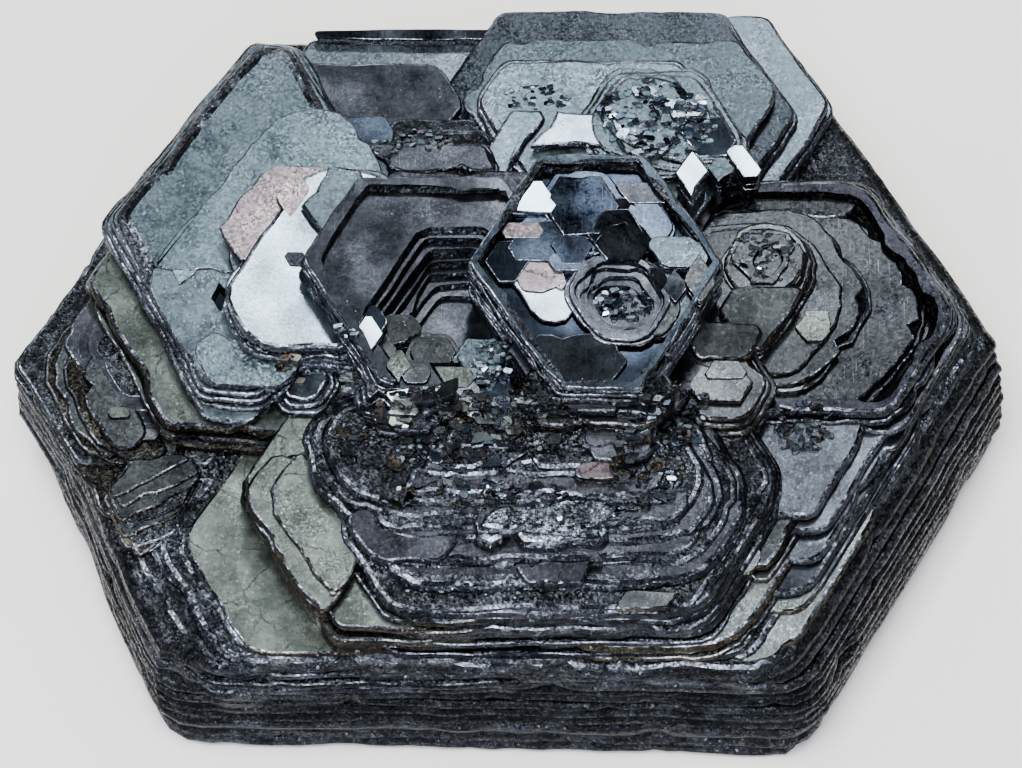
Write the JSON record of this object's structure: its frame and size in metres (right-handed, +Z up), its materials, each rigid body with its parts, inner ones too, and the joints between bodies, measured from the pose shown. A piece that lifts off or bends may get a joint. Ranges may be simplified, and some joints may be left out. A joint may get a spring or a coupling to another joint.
{
  "type": "hematite rose mineral specimen",
  "caption": "Rosette of flat hexagonal hematite crystals grown together: stacked metallic plates with stepped hollows, resting on its flat base.",
  "frame": {"origin": "centre of the resting base, at the bottom centre of the bounding box", "axes": "+X along the longest width, to the right as one looks at the steep front; +Y towards the back; +Z up, across the crystal plates"},
  "size_m": [0.0902, 0.0694, 0.029],
  "materials": {
    "hematite": "natural hematite: mirror-like steel-grey basal faces, darker layered side faces, faint red-brown iron oxide in the crevices"
  },
  "bodies": {
    "root": {"hematite_rose": "hematite"}
  },
  "joints": []
}
